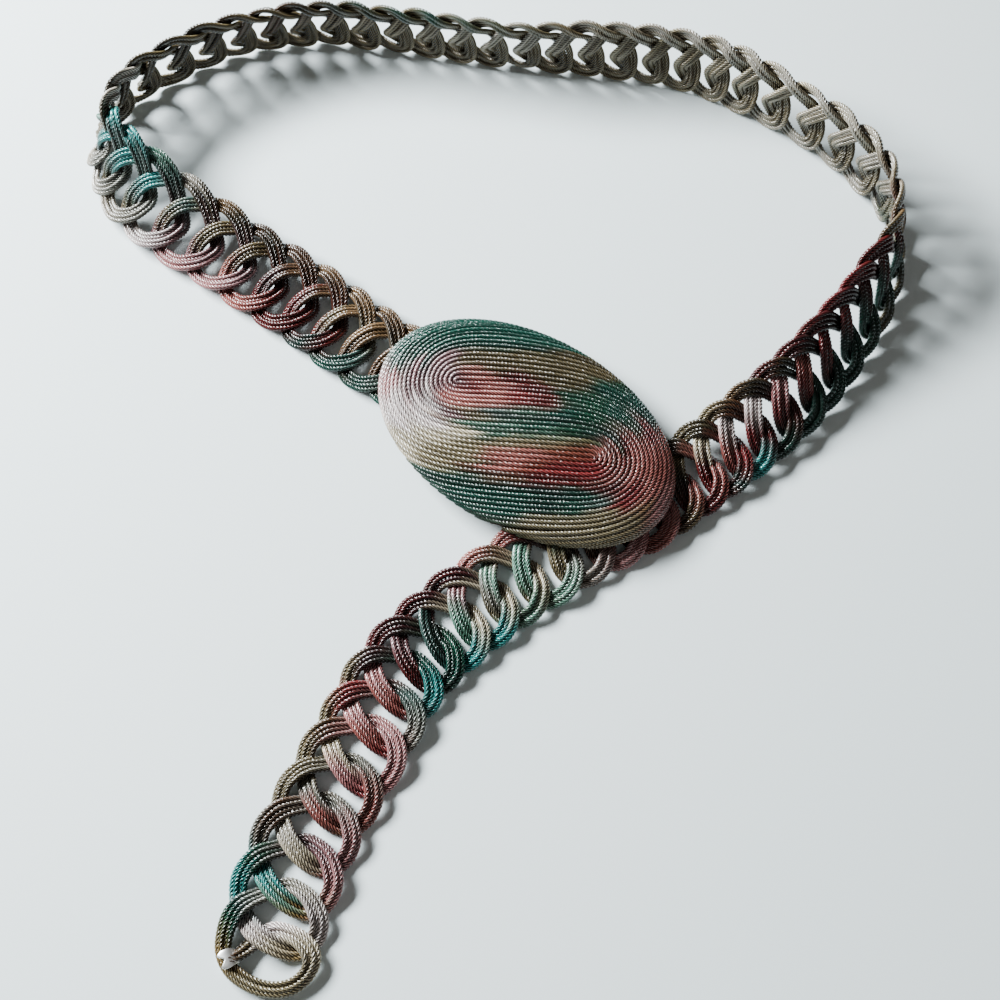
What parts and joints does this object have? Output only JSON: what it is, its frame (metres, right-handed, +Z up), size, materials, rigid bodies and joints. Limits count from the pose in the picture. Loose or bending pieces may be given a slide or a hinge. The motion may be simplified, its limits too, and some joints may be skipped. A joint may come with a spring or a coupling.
{
  "type": "cord chain belt",
  "caption": "Soft belt worked as a chain of interlocked flat cord loops in shaded colours, fastened into a waist loop with an oval coiled-cord buckle and a hanging free end.",
  "frame": {"origin": "middle of the bounding box on the surface it lies on", "axes": "+Z up from the surface, +Y away from the free end towards the standing back of the waist loop, +X to the right seen from above with the free end nearest"},
  "size_m": [0.3014, 0.3634, 0.0316],
  "materials": {
    "chain_cord": "space-dyed satin cord in teal, maroon, olive and silver grey",
    "coil_cord": "space-dyed satin cord, coiled flat",
    "metal": "bright silver"
  },
  "bodies": {
    "root": {"chain_buckle_half": "chain_cord", "chain_tail_half": "chain_cord", "buckle_plaque": "coil_cord", "hidden_hook": "metal", "end_clip": "metal"}
  },
  "joints": []
}
